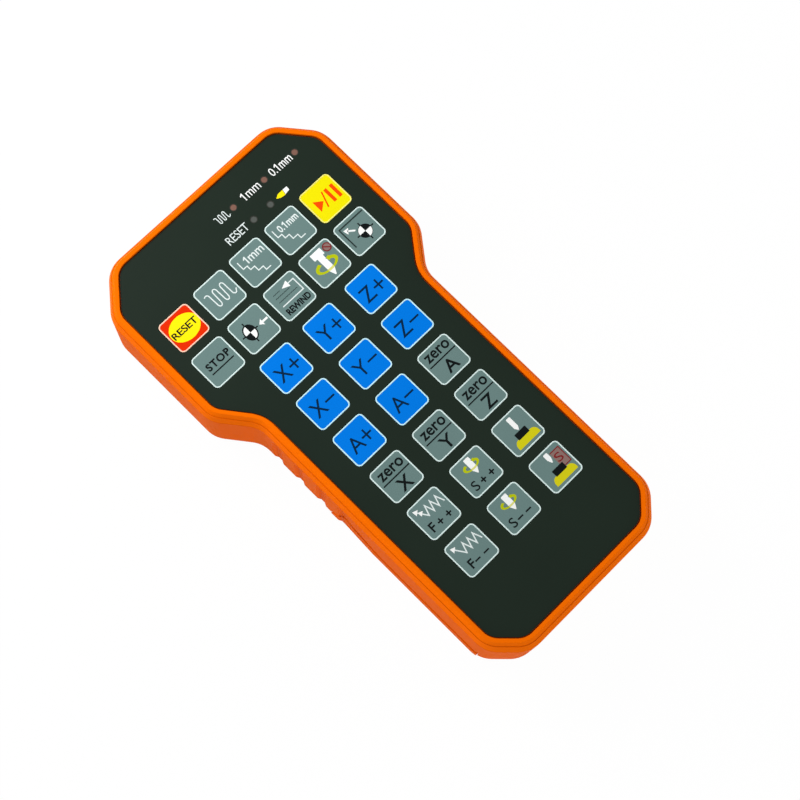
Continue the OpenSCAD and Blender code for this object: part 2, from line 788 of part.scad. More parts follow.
// Everything below hangs under the head's part of the board, clear of the battery bay
module microcontroller() {
    color("#202022") translate([chip_at[0], chip_at[1], 0])
        block(-chip_w / 2, chip_w / 2, -chip_w / 2, chip_w / 2, board_low_z - chip_h, board_low_z);
}

module crystal() {
    color("silver") translate([crystal_at[0], crystal_at[1], board_low_z - crystal_h]) {
        for (side = [-1, 1]) translate([0, side * crystal_l / 2, 0]) cylinder(d = crystal_d, h = crystal_h);
        translate([-crystal_d / 2, -crystal_l / 2, 0]) cube([crystal_d, crystal_l, crystal_h]);
    }
}

module capacitors() {
    color("#30343c") for (p = capacitors_at)
        translate([p[0], p[1], 0]) rod(capacitor_d, board_low_z - capacitor_h, board_low_z);
}

module inductor() {
    color("#3a3a3a") translate([inductor_at[0], inductor_at[1], 0])
        block(-inductor_w / 2, inductor_w / 2, -inductor_w / 2, inductor_w / 2,
              board_low_z - inductor_h, board_low_z);
}

module radio_board() {
    color("#2a4d9b") difference() {
        block(radio_x, radio_x + radio_l, radio_y, radio_y + radio_w, radio_z, radio_z + radio_t);
        radio_pin_rods(seat_gap);
    }
}

module radio_shield() {
    x0 = radio_x + 2 * pin_pitch;
    color("silver")
        block(x0, radio_x + radio_l - shield_edge, radio_y + shield_edge, radio_y + radio_w - shield_edge,
              radio_z + radio_t, radio_z + radio_t + shield_h);
}

module radio_pin_rods(gap) {
    for (i = [0:3]) translate([radio_x + pin_inset, radio_y + radio_w / 2 + (i - 1.5) * pin_pitch, 0])
        rod(pin_d + gap, board_low_z - pin_end, radio_z + radio_t + pin_end);
}

module radio_pins() {
    color("gold") radio_pin_rods(0);
}

// ---------- cells and contacts ----------

// One cell; turn is 1 where its button points to the head
module cell(x, turn) {
    can_l = cell_l - button_l;
    gap = plate_t + seat_gap / 2;
    y_middle = turn > 0 ? bay_y1 - gap - cell_l / 2 : bay_y0 + gap + cell_l / 2;
    translate([x, y_middle, cell_z]) rotate([-90 * turn, 0, 0]) translate([0, 0, -cell_l / 2]) {
        cylinder(d = cell_d, h = can_l - cell_edge);
        cylinder(d = cell_d - 2 * cell_edge, h = can_l);
        cylinder(d = button_d, h = cell_l);
    }
}

module cell_left() {
    color("#3c4a5a") cell(-cell_x, 1);
}

module cell_right() {
    color("#3c4a5a") cell(cell_x, -1);
}

// A conical coil of wire standing on Z = 0, wide end down
module cone_coil(r_low, r_high, height, turns, wire) {
    steps = 14;
    sides = 6;
    count = turns * steps;
    rings = [for (i = [0:count])
        let (t = i / count, a = 360 * i / steps, r = r_low + (r_high - r_low) * t,
             z = wire / 2 + (height - wire) * t)
        [for (j = [0:sides - 1])
            let (b = 360 * j / sides)
            [(r + wire / 2 * cos(b)) * cos(a), (r + wire / 2 * cos(b)) * sin(a), z + wire / 2 * sin(b)]]];
    polyhedron(
        points = [for (ring = rings) each ring],
        faces = concat(
            [[for (j = [0:sides - 1]) j]],
            [[for (j = [sides - 1:-1:0]) count * sides + j]],
            [for (i = [0:count - 1]) for (j = [0:sides - 1])
                let (a = i * sides + j, b = i * sides + (j + 1) % sides)
                each [[a, b + sides, b], [a, a + sides, b + sides]]]));
}

module cell_spring() {
    cone_coil(spring_wide_r, spring_narrow_r, spring_l - seat_gap, spring_turns, spring_wire);
}

module cell_springs() {
    color("silver") {
        translate([-cell_x, bay_y0 + plate_t, cell_z]) rotate([-90, 0, 0]) cell_spring();
        translate([cell_x, bay_y1 - plate_t, cell_z]) rotate([90, 0, 0]) cell_spring();
    }
}

// The tails of the head end contacts, which reach up through the bay's roof to the board
module contact_tails(gap) {
    half = (tail_w + gap) / 2;
    for (x = [-cell_x, cell_x])
        block(x - half, x + half, bay_y1 - plate_t - gap / 2, bay_y1 + gap / 2,
              bay_roof_z - tail_lap, board_z + tail_end);
}

module cell_contacts() {
    color("gainsboro") {
        for (x = [-cell_x, cell_x])
            block(x - plate_w / 2, x + plate_w / 2, bay_y1 - plate_t, bay_y1,
                  cell_z - contact_half_h, bay_roof_z - 2 * seat_gap);
        contact_tails(0);
    }
}

module contact_bridge() {
    color("gainsboro")
        block(-cell_x - plate_w / 2, cell_x + plate_w / 2, bay_y0, bay_y0 + plate_t,
              cell_z - contact_half_h, cell_z + contact_half_h);
}

// ---------- screws ----------

// A pan head screw, point up, its head under the seat at Z = 0
module screw(d, head_d, head_h, length) {
    arm = head_d / 3;
    half = drive_slot_w / 2;
    difference() {
        union() {
            rod(head_d, -head_h, 0);
            rod(d, -bite, length);
        }
        block(-arm, arm, -half, half, -head_h - overcut, -head_h / 2);
        block(-half, half, -arm, arm, -head_h - overcut, -head_h / 2);
    }
}

module case_screws() {
    color("#8a8d90") both_sides(case_screws_at)
        translate([0, 0, screw_seat]) screw(screw_d, screw_head_d, screw_head_h, screw_l);
}

module board_screws() {
    color("#8a8d90") both_sides(board_screws_at)
        translate([0, 0, board_low_z]) screw(board_screw_d, board_head_d, board_head_h, board_screw_l);
}

front_shell();
rear_shell();
battery_door();
overlay();
step_lamp_windows();
status_lamp_windows();
light_guides();
lamps();
circuit_board();
switch_bases();
microcontroller();
crystal();
capacitors();
inductor();
radio_board();
radio_shield();
radio_pins();
cell_left();
cell_right();
cell_springs();
cell_contacts();
contact_bridge();
case_screws();
board_screws();
for (k = KEYS)
    key_piece(k);
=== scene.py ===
"""The finish of a wireless machine control keypad: moulded housing, printed overlay and keys, cells."""
import math
import bmesh
import bpy
from mathutils import Matrix, Vector


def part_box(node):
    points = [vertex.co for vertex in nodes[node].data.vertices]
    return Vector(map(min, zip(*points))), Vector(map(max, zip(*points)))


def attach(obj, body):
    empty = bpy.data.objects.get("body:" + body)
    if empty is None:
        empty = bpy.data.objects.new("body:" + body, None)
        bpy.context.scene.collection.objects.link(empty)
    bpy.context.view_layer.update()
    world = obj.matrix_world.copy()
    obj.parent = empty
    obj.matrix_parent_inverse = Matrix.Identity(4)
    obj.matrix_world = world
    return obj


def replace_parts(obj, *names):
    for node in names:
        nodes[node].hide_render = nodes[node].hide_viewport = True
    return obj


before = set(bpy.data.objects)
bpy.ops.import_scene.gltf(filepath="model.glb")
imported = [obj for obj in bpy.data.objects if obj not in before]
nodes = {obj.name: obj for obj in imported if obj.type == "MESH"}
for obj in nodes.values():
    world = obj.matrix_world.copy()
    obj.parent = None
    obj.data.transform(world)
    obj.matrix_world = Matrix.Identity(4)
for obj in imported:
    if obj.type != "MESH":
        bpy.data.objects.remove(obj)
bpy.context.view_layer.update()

MM = 0.001
FACE_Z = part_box("overlay")[1][2]        # top of the printed overlay
INK_T = 0.012 * MM                      # thickness of one printed layer

# Sizes in millimetres
BORDER_W = 0.42         # width of a key's pale border
KEY_CORNER = 1.5        # corner radius of a key's pad
KEY_FLANGE = 0.55       # how far a key's hidden flange reaches past its pad
CREASE_SHADE_REACH = 1.1      # how far from a crease the shade painted into it reaches
WINDOW_R = 1.2          # radius of a lamp window
WINDOW_HALO = 0.26      # width of the dull ring around a lamp window


def srgb(red, green, blue):
    """A colour given as 0 to 255, as the linear values that a material takes."""
    def linear(value):
        value /= 255
        return value / 12.92 if value <= 0.04045 else ((value + 0.055) / 1.055) ** 2.4
    return (linear(red), linear(green), linear(blue), 1.0)


def placed(name, data):
    """A new object in the scene."""
    thing = bpy.data.objects.new(name, data)
    bpy.context.scene.collection.objects.link(thing)
    return thing


# ---------- node helpers ----------

def new_group(name, inputs, outputs):
    """A shader group; inputs and outputs are (name, socket type, default or None)."""
    tree = bpy.data.node_groups.new(name, "ShaderNodeTree")
    for direction, sockets in (("INPUT", inputs), ("OUTPUT", outputs)):
        for label, kind, default in sockets:
            socket = tree.interface.new_socket(label, in_out=direction, socket_type=kind)
            if default is not None:
                socket.default_value = default
    return tree, tree.nodes.new("NodeGroupInput"), tree.nodes.new("NodeGroupOutput")


def math_node(tree, operation, first, second):
    """A math node between two values, each a socket or a number."""
    node = tree.nodes.new("ShaderNodeMath")
    node.operation = operation
    for socket, value in zip(node.inputs, (first, second)):
        if isinstance(value, (int, float)):
            socket.default_value = value
        else:
            tree.links.new(value, socket)
    return node.outputs[0]


def noise(tree, scale, detail, stretch=(1, 1, 1)):
    """Noise over the object's own coordinates; scale is a number or a socket, in waves a metre."""
    place = tree.nodes.new("ShaderNodeTexCoord")
    mapping = tree.nodes.new("ShaderNodeMapping")
    mapping.inputs["Scale"].default_value = stretch
    texture = tree.nodes.new("ShaderNodeTexNoise")
    texture.inputs["Detail"].default_value = detail
    tree.links.new(place.outputs["Object"], mapping.inputs["Vector"])
    tree.links.new(mapping.outputs["Vector"], texture.inputs["Vector"])
    if isinstance(scale, (int, float)):
        texture.inputs["Scale"].default_value = scale
    else:
        tree.links.new(scale, texture.inputs["Scale"])
    return texture.outputs["Fac"]


def threshold(tree, value, low, high):
    """A ramp from 0 at low to 1 at high."""
    ramp = tree.nodes.new("ShaderNodeMapRange")
    ramp.inputs["From Min"].default_value = low
    ramp.inputs["From Max"].default_value = high
    tree.links.new(value, ramp.inputs["Value"])
    return ramp.outputs["Result"]


def mix_colours(tree, factor, first, second):
    """The first colour turning into the second; the first may be a socket."""
    mix = tree.nodes.new("ShaderNodeMix")
    mix.data_type = "RGBA"
    if isinstance(first, tuple):
        mix.inputs["A"].default_value = first
    else:
        tree.links.new(first, mix.inputs["A"])
    mix.inputs["B"].default_value = second
    tree.links.new(factor, mix.inputs["Factor"])
    return mix.outputs["Result"]


def add_bump(tree, shader, height, depth):
    """Relief on a shader; depth is its full height in millimetres."""
    bump = tree.nodes.new("ShaderNodeBump")
    bump.inputs["Distance"].default_value = depth * MM
    bump.inputs["Strength"].default_value = 1.0
    tree.links.new(height, bump.inputs["Height"])
    tree.links.new(bump.outputs["Normal"], shader.inputs["Normal"])


def seen_directly(tree):
    """The light path, and 1 for what is seen straight, in a gloss or through clear plastic."""
    path = tree.nodes.new("ShaderNodeLightPath")
    seen = path.outputs["Is Camera Ray"]
    for ray in ("Is Glossy Ray", "Is Transmission Ray"):
        seen = math_node(tree, "MAXIMUM", seen, path.outputs[ray])
    return path, seen


# ---------- node groups that several materials share ----------

def moulded_surface_group():
    """Moulded plastic and film: a fine grain, slow changes of tone and a slightly uneven gloss."""
    tree, source, result = new_group(
        "moulded_surface",
        [("Colour", "NodeSocketColor", None), ("Tone change", "NodeSocketFloat", 0.05),
         ("Roughness", "NodeSocketFloat", 0.4), ("Gloss change", "NodeSocketFloat", 0.08),
         ("Grain", "NodeSocketFloat", 2500.0)],
        [("Colour", "NodeSocketColor", None), ("Roughness", "NodeSocketFloat", None),
         ("Height", "NodeSocketFloat", None)])
    slow = noise(tree, 38.0, 3.0)
    centred = math_node(tree, "SUBTRACT", slow, 0.5)
    value = math_node(tree, "ADD", math_node(tree, "MULTIPLY", centred, source.outputs["Tone change"]), 1.0)
    tone = tree.nodes.new("ShaderNodeHueSaturation")
    tree.links.new(value, tone.inputs["Value"])
    tree.links.new(source.outputs["Colour"], tone.inputs["Color"])
    tree.links.new(tone.outputs["Color"], result.inputs["Colour"])
    smear = math_node(tree, "SUBTRACT", noise(tree, 90.0, 4.0, (1, 0.35, 1)), 0.5)
    shift = math_node(tree, "MULTIPLY", smear, source.outputs["Gloss change"])
    tree.links.new(math_node(tree, "ADD", source.outputs["Roughness"], shift), result.inputs["Roughness"])
    tree.links.new(noise(tree, source.outputs["Grain"], 2.0), result.inputs["Height"])
    return tree


def handling_marks_group():
    """Fine hairline marks from handling, as a mask from 0 to 1."""
    tree, source, result = new_group(
        "handling_marks", [("Amount", "NodeSocketFloat", 0.3)], [("Mask", "NodeSocketFloat", None)])
    along = noise(tree, 60.0, 2.0, (1, 22, 9))
    across = noise(tree, 60.0, 2.0, (18, 1, 9))
    both = math_node(tree, "MAXIMUM", *(threshold(tree, field, 0.66, 0.74) for field in (along, across)))
    tree.links.new(math_node(tree, "MULTIPLY", both, source.outputs["Amount"]), result.inputs["Mask"])
    return tree


MOULDED_SURFACE = moulded_surface_group()
HANDLING_MARKS = handling_marks_group()


# ---------- materials ----------

def new_material(name):
    material = bpy.data.materials.new(name)
    material.use_nodes = True
    return material, material.node_tree, material.node_tree.nodes["Principled BSDF"]


def place_group(tree, group, **values):
    node = tree.nodes.new("ShaderNodeGroup")
    node.node_tree = group
    for label, value in values.items():
        node.inputs[label.replace("_", " ")].default_value = value
    return node


def paint_crease_shade(tree, colour, amount):
    """The colour with shade painted into the piece's own tight creases, found by ambient occlusion."""
    corner = tree.nodes.new("ShaderNodeAmbientOcclusion")
    corner.only_local = True
    corner.samples = 8
    corner.inputs["Distance"].default_value = CREASE_SHADE_REACH * MM
    shade = math_node(tree, "MULTIPLY", math_node(tree, "SUBTRACT", 1.0, corner.outputs["AO"]), amount)
    # painted shade: a dark red-brown mixed into the colour where ambient occlusion finds a tight crease
    return mix_colours(tree, shade, colour, srgb(126, 18, 0))


def moulded(name, colour, roughness, tone=0.05, gloss=0.08, grain=2500.0, depth=0.02, marks=0.0, coat=0.0,
            sheen=0.3, crease_shade_amount=0.0):
    """Moulded plastic or printed film.

    depth is the height of its grain in millimetres, marks how far handling has dulled it, sheen how
    strongly it mirrors, coat the share of a clear skin, and the last one how dark the shade painted into
    its creases is.
    """
    material, tree, shader = new_material(name)
    surface = place_group(tree, MOULDED_SURFACE, Colour=colour, Tone_change=tone, Roughness=roughness,
                          Gloss_change=gloss, Grain=grain)
    tone_now = surface.outputs["Colour"]
    # painted shade in the tight creases, when asked for
    if crease_shade_amount:
        tone_now = paint_crease_shade(tree, tone_now, crease_shade_amount)
    tree.links.new(tone_now, shader.inputs["Base Color"])
    rough = surface.outputs["Roughness"]
    if marks:
        worn = place_group(tree, HANDLING_MARKS, Amount=marks)
        rough = math_node(tree, "ADD", rough, worn.outputs["Mask"])
    tree.links.new(rough, shader.inputs["Roughness"])
    add_bump(tree, shader, surface.outputs["Height"], depth)
    shader.inputs["Specular IOR Level"].default_value = sheen
    shader.inputs["Coat Weight"].default_value = coat
    shader.inputs["Coat Roughness"].default_value = 0.15
    return material


def metal(name, colour, roughness, stretch=(1, 1, 1), grain=900.0):
    """Plated or drawn metal with a faint directional grain."""
    material, tree, shader = new_material(name)
    shader.inputs["Metallic"].default_value = 1.0
    field = noise(tree, grain, 3.0, stretch)
    darker = tuple(0.7 * part for part in colour[:3]) + (1.0,)
    tree.links.new(mix_colours(tree, field, colour, darker), shader.inputs["Base Color"])
    uneven = math_node(tree, "MULTIPLY", math_node(tree, "SUBTRACT", field, 0.5), 0.2)
    tree.links.new(math_node(tree, "ADD", uneven, roughness), shader.inputs["Roughness"])
    return material


def circuit_board_mask():
    """Green solder mask over copper tracks, with the tracks a little paler and raised."""
    material, tree, shader = new_material("solder_mask")
    place = tree.nodes.new("ShaderNodeTexCoord")
    tracks = tree.nodes.new("ShaderNodeTexVoronoi")
    tracks.distance = "CHEBYCHEV"
    tracks.feature = "F2"
    tracks.inputs["Scale"].default_value = 260.0
    tree.links.new(place.outputs["Object"], tracks.inputs["Vector"])
    track = threshold(tree, tracks.outputs["Distance"], 0.48, 0.52)
    mask = mix_colours(tree, track, srgb(20, 88, 48), srgb(38, 122, 66))
    tree.links.new(mask, shader.inputs["Base Color"])
    add_bump(tree, shader, track, 0.03)
    shader.inputs["Roughness"].default_value = 0.35
    return material


def clear_window(name, colour):
    """A dark tinted lamp window under a glossy skin."""
    return moulded(name, colour, 0.22, tone=0.3, gloss=0.05, grain=900.0, depth=0.01, coat=0.6)


# both orange mouldings get shade painted into their tight creases
FRONT_ORANGE = moulded("front_orange", srgb(252, 112, 0), 0.42, tone=0.05, depth=0.012,
                       marks=0.05, sheen=0.015, crease_shade_amount=1.7)
REAR_ORANGE = moulded("rear_orange", srgb(242, 102, 4), 0.6, tone=0.06, depth=0.02,
                      marks=0.06, sheen=0.02, crease_shade_amount=1.1)
OVERLAY_FILM = moulded("overlay_film", srgb(27, 38, 30), 0.46, tone=0.22, gloss=0.1, grain=3600.0,
                       depth=0.01, marks=0.04, sheen=0.07)


def key_film(name, colour, roughness, tone, sheen):
    return moulded(name, colour, roughness, tone=tone, grain=3600.0, depth=0.008, sheen=sheen)


KEY_FILMS = {
    "grey": key_film("grey_key_film", srgb(105, 131, 128), 0.5, 0.12, 0.1),
    "blue": key_film("blue_key_film", srgb(0, 122, 229), 0.5, 0.1, 0.03),
    "red": key_film("red_key_film", srgb(229, 45, 0), 0.48, 0.06, 0.04),
    "yellow": key_film("yellow_key_film", srgb(243, 231, 4), 0.48, 0.05, 0.04),
}


def ink(name, colour):
    """A thin, dull print."""
    return moulded(name, colour, 0.5, tone=0.05, gloss=0.04, grain=5200.0, depth=0.003, sheen=0.06)


INKS = {
    "border": ink("border_white_ink", srgb(222, 242, 238)),
    "border_pink": ink("border_pink_ink", srgb(255, 213, 187)),
    "border_blue": ink("border_ice_ink", srgb(204, 246, 255)),
    "border_yellow": ink("border_cream_ink", srgb(250, 241, 126)),
    "white": ink("white_ink", srgb(250, 252, 250)),
    "soft_white": ink("soft_white_ink", srgb(228, 238, 236)),
    "black": ink("black_ink", srgb(7, 13, 14)),
    "soft_black": ink("soft_black_ink", srgb(38, 52, 50)),
    "navy": ink("navy_ink", srgb(0, 35, 66)),
    "lime": ink("lime_ink", srgb(186, 196, 10)),
    "plate_lime": ink("plate_lime_ink", srgb(214, 206, 22)),
    "pale_lime": ink("pale_lime_ink", srgb(222, 220, 128)),
    "yellow": ink("yellow_ink", srgb(255, 236, 8)),
    "orange": ink("orange_ink", srgb(255, 78, 0)),
    "maroon": ink("maroon_ink", srgb(126, 32, 34)),
    "blush": ink("blush_ink", srgb(140, 112, 106)),
    "smoke": ink("smoke_ink", srgb(50, 52, 46)),
}
WINDOW_RED = clear_window("red_brown_window", srgb(121, 79, 62))
WINDOW_GREY = clear_window("grey_window", srgb(66, 72, 66))
TINNED = metal("tinned_steel", srgb(196, 198, 200), 0.34)
SPRING_STEEL = metal("spring_steel", srgb(190, 192, 194), 0.26, (1, 14, 1), 400.0)
ZINC = metal("zinc_plate", srgb(150, 153, 158), 0.4)
GOLD = metal("gold_plate", srgb(214, 178, 92), 0.28)
BLACK_PLASTIC = moulded("component_black", srgb(34, 34, 36), 0.5, tone=0.15, depth=0.02)
SWITCH_PLASTIC = moulded("switch_black", srgb(44, 44, 47), 0.42, tone=0.1, depth=0.01)
LAMP_WHITE = moulded("lamp_body", srgb(236, 232, 216), 0.4, tone=0.06)
ACRYLIC = moulded("clear_acrylic", srgb(226, 230, 232), 0.12, tone=0.04, depth=0.002, coat=0.5)
SOLDER_MASK = circuit_board_mask()
RADIO_MASK = moulded("radio_board_blue", srgb(28, 62, 132), 0.34, tone=0.2, depth=0.01)
CAN_SLEEVE = moulded("capacitor_sleeve", srgb(32, 36, 48), 0.3, tone=0.1, depth=0.01, coat=0.3)
CELL_SLEEVE = moulded("cell_sleeve", srgb(54, 66, 84), 0.3, tone=0.06, depth=0.004, marks=0.05, coat=0.4)
CELL_BAND = moulded("cell_band", srgb(196, 200, 204), 0.32, tone=0.05, depth=0.004, coat=0.4)


# ---------- mesh helpers ----------

def add_piece(name, mesh, body, slot, *materials):
    """A finished piece at the origin that moves with a body of the frame."""
    piece = placed(name, mesh)
    for material in materials:
        mesh.materials.append(material)
    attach(piece, body)
    return piece


def paint_node(name, material):
    """One material over a whole node."""
    nodes[name].data.materials.clear()
    nodes[name].data.materials.append(material)


def baked(source):
    """The plain mesh of an object with its modifiers or its text evaluated."""
    bpy.context.view_layer.update()
    graph = bpy.context.evaluated_depsgraph_get()
    mesh = bpy.data.meshes.new_from_object(source.evaluated_get(graph), depsgraph=graph)
    bpy.data.objects.remove(source)
    return mesh


def smooth_moulding(node, body, slot, material):
    """A merged copy of a moulding, smooth over its curves and crisp at its edges, in place of its node."""
    flat_angle, crisp_angle = math.radians(0.4), math.radians(24)
    mesh = nodes[node].data.copy()
    mesh.materials.clear()
    bm = bmesh.new()
    bm.from_mesh(mesh)
    bmesh.ops.remove_doubles(bm, verts=bm.verts, dist=0.002 * MM)
    bmesh.ops.dissolve_limit(bm, angle_limit=flat_angle, verts=bm.verts, edges=bm.edges)
    for face in bm.faces:
        face.smooth = True
    for edge in bm.edges:
        edge.smooth = len(edge.link_faces) == 2 and edge.calc_face_angle(0) < crisp_angle
    bm.to_mesh(mesh)
    bm.free()
    piece = add_piece(node + "_moulding", mesh, body, slot, material)
    weighted = piece.modifiers.new("weighted normals", "WEIGHTED_NORMAL")
    weighted.keep_sharp = True
    weighted.weight = 60
    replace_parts(piece, node)


def lathe(profile, sides):
    """A turned mesh with flat ends about Z, from (radius, height) pairs in millimetres, bottom to top."""
    bm = bmesh.new()
    rings = []
    for radius, height in profile:
        rings.append([bm.verts.new((radius * math.cos(a) * MM, radius * math.sin(a) * MM, height * MM))
                      for a in (math.tau * i / sides for i in range(sides))])
    for low, high in zip(rings, rings[1:]):
        for i in range(sides):
            j = (i + 1) % sides
            bm.faces.new((low[i], low[j], high[j], high[i]))
    bm.faces.new(rings[0][::-1])
    bm.faces.new(rings[-1])
    for face in bm.faces:
        face.smooth = True
    for edge in bm.edges:
        edge.smooth = edge.calc_face_angle(0) < math.radians(35)
    mesh = bpy.data.meshes.new("turned")
    bm.to_mesh(mesh)
    bm.free()
    return mesh


# ---------- printing ----------

def arc(x, y, rx, ry, start, end, steps):
    """Points along an ellipse from one angle to another, in degrees."""
    angles = (math.radians(start + (end - start) * i / steps) for i in range(steps + 1))
    return [(x + rx * math.cos(a), y + ry * math.sin(a)) for a in angles]


def text_mesh(words, offset, spacing):
    """The plain mesh of words one unit thick; offset moves their outline outward, in letter heights."""
    curve = bpy.data.curves.new("words", "FONT")
    curve.body = words
    curve.offset = offset
    curve.space_character = spacing
    curve.extrude = 0.5
    curve.resolution_u = 4
    return baked(placed("words", curve))


def spread(mesh, axis):
    """A mesh's extent along an axis."""
    places = [v.co[axis] for v in mesh.vertices]
    return max(places) - min(places)


def centre_of(mesh, axis):
    """The middle of a mesh's extent along an axis."""
    places = [v.co[axis] for v in mesh.vertices]
    return (max(places) + min(places)) / 2


STEM = spread(text_mesh("I", 0.0, 1.0), 0)      # width of a plain upright stroke


class Print:
    """Printed shapes on one flat face. Places are in millimetres from the face's middle."""

    def __init__(self, name, body, slot, x, y):
        self.name, self.body, self.slot = name, body, slot
        self.x, self.y = x, y
        self.bm = bmesh.new()
        self.inks = []

    def ink_index(self, colour):
        """The place of an ink among the materials of this print."""
        if colour not in self.inks:
            self.inks.append(colour)
        return self.inks.index(colour)

    def prism(self, faces, points, walls, colour, level):
        """A thin closed layer: faces over 2-D points, and their walls; level lifts it over others."""
        top_z = FACE_Z + INK_T * (level + 1)
        high = [self.bm.verts.new((x * MM, y * MM, top_z)) for x, y in points]
        low = [self.bm.verts.new((x * MM, y * MM, FACE_Z)) for x, y in points]
        made = [self.bm.faces.new([high[i] for i in face]) for face in faces]
        made += [self.bm.faces.new([low[i] for i in reversed(face)]) for face in faces]
        made += [self.bm.faces.new((high[i], low[i], low[j], high[j])) for i, j in walls]
        for face in made:
            face.material_index = self.ink_index(colour)

    def shape(self, points, colour, level=0):
        """A filled outline, its points anticlockwise."""
        count = len(points)
        self.prism([range(count)], points, [(i, (i + 1) % count) for i in range(count)], colour, level)

    def box(self, x0, x1, y0, y1, colour, level=0):
        """A rectangle."""
        self.shape([(x0, y0), (x1, y0), (x1, y1), (x0, y1)], colour, level)

    def band(self, outer, inner, colour, level=0, closed=False):
        """The strip between two lines of as many points; outer lies to the right of inner."""
        count = len(outer)
        points = outer + inner
        spans = count if closed else count - 1
        steps = [(i, (i + 1) % count) for i in range(spans)]
        faces = [(i, j, count + j, count + i) for i, j in steps]
        walls = list(steps) + [(count + j, count + i) for i, j in steps]
        if not closed:
            walls += [(count - 1, 2 * count - 1), (count, 0)]
        self.prism(faces, points, walls, colour, level)

    def line(self, points, width, colour, level=0):
        """A mitred line of one width."""
        path = [Vector(p) for p in points]
        left, right = [], []
        for i, point in enumerate(path):
            before = (point - path[i - 1]).normalized() if i > 0 else None
            after = (path[i + 1] - point).normalized() if i < len(path) - 1 else None
            before = before or after
            after = after or before
            side = Vector((-before.y - after.y, before.x + after.x)).normalized()
            lean = max(side.dot(Vector((-after.y, after.x))), 0.3)      # keeps a sharp corner short
            reach = width / 2 / lean
            left.append(tuple(point + side * reach))
            right.append(tuple(point - side * reach))
        self.band(right, left, colour, level)

    def ring(self, x, y, rx, ry, width, colour, level=0):
        """An ellipse's rim, drawn inwards."""
        steps = 40
        self.band(arc(x, y, rx, ry, 0, 360, steps)[:-1],
                  arc(x, y, rx - width, ry - width, 0, 360, steps)[:-1], colour, level, closed=True)

    def disc(self, x, y, rx, ry, colour, level=0):
        """A filled ellipse."""
        self.shape(arc(x, y, rx, ry, 0, 360, 48)[:-1], colour, level)

    def arrow_head(self, tip, back, half, colour, level=0):
        """A triangle from its tip to the middle of its back edge, half as wide each side."""
        tip, back = Vector(tip), Vector(back)
        ahead = (tip - back).normalized()
        side = Vector((-ahead.y, ahead.x)) * half
        self.shape([tuple(tip), tuple(back + side), tuple(back - side)], colour, level)

    def text(self, words, x, y, width, height, colour, stroke, level=0, spacing=1.0):
        """Words that fill a width and a height about their middle, drawn with a stroke of one width."""
        plain = text_mesh(words, 0.0, spacing)
        natural = spread(plain, 0)
        bpy.data.meshes.remove(plain)
        offset = (stroke * natural - STEM * width) / (2 * (width - stroke))
        thinnest, boldest = -0.03, 0.05
        mesh = text_mesh(words, max(thinnest, min(offset, boldest)), spacing)
        middle = Vector((centre_of(mesh, 0), centre_of(mesh, 1), -0.5))
        scale = Vector((width * MM / spread(mesh, 0), height * MM / spread(mesh, 1), INK_T * (level + 1)))
        start = Vector((x * MM, y * MM, FACE_Z))
        for vertex in mesh.vertices:
            vertex.co = start + (vertex.co - middle) * scale
        first = len(self.bm.faces)
        self.bm.from_mesh(mesh)
        self.bm.faces.ensure_lookup_table()
        index = self.ink_index(colour)
        for face in self.bm.faces[first:]:
            face.material_index = index
            face.smooth = False
        bpy.data.meshes.remove(mesh)

    def figure_one(self, x, y, height, colour, stroke, level=0):
        """The figure 1 with its flag, its stem centred at x and its foot at y - height / 2."""
        top, foot, half = y + height / 2, y - height / 2, stroke / 2
        flag = 0.22 * height
        self.shape([(x - half, foot), (x + half, foot), (x + half, top), (x - half * 0.4, top),
                    (x - half - flag, top - flag), (x - half - flag, top - flag - stroke),
                    (x - half, top - flag * 0.75 - stroke * 0.6)], colour, level)

    def finish(self):
        """The printed shapes as one piece in their place on the face."""
        bmesh.ops.remove_doubles(self.bm, verts=self.bm.verts, dist=0.0005 * MM)
        bmesh.ops.translate(self.bm, verts=self.bm.verts, vec=(self.x, self.y, 0))
        mesh = bpy.data.meshes.new(self.name)
        self.bm.to_mesh(mesh)
        self.bm.free()
        return add_piece(self.name, mesh, self.body, self.slot, *(INKS[colour] for colour in self.inks))


# ---------- symbols ----------

def wave(page, x, y, across, up, stroke):
    """A white wave of upright loops, from a flat start to a short hooked end, scaled across and up."""
    points = [(-4.15, 2.45), (-3.85, 2.7)]
    for i in range(3):
        points += arc(3 * i - 3.4, 1.75, 0.7, 1.0, 180 if i else 90, 0, 12)
        points += arc(3 * i - 1.9, -1.75, 0.7, 1.0, 180, 360 if i < 2 else 330, 12)
    points.append((5.2, -1.6))
    page.line([(x + across * px, y + up * py) for px, py in points], stroke, "soft_white")


def staircase(page, x):
    """White steps down to the right from a tall first riser."""
    page.line([(x, 3.8), (x, 0.98), (x + 1.55, 0.98), (x + 1.55, -0.6), (x + 3.18, -0.6),
               (x + 3.18, -2.42), (x + 5.09, -2.42), (x + 5.09, -3.92), (x + 7.0, -3.92)],
              0.34, "soft_white")


def datum_target(page, x, y, rx, ry, left, right, up, down, rim):
    """A datum target in black and white quarters; its crosshair reaches left, right, up and down."""
    hair = 0.42
    page.disc(x, y, rx, ry, "white")
    for start in (0, 180):
        page.shape([(x, y)] + arc(x, y, rx, ry, start, start + 90, 14), "black", 1)
    page.ring(x, y, rx, ry, rim, "black", 2)
    page.line([(x - rx, y), (x - left, y)], hair, "black")
    page.line([(x + rx, y), (x + right, y)], hair, "black")
    page.line([(x, y + ry), (x, y + up)], hair, "black")
    page.line([(x, y - ry), (x, y - down)], hair, "black")


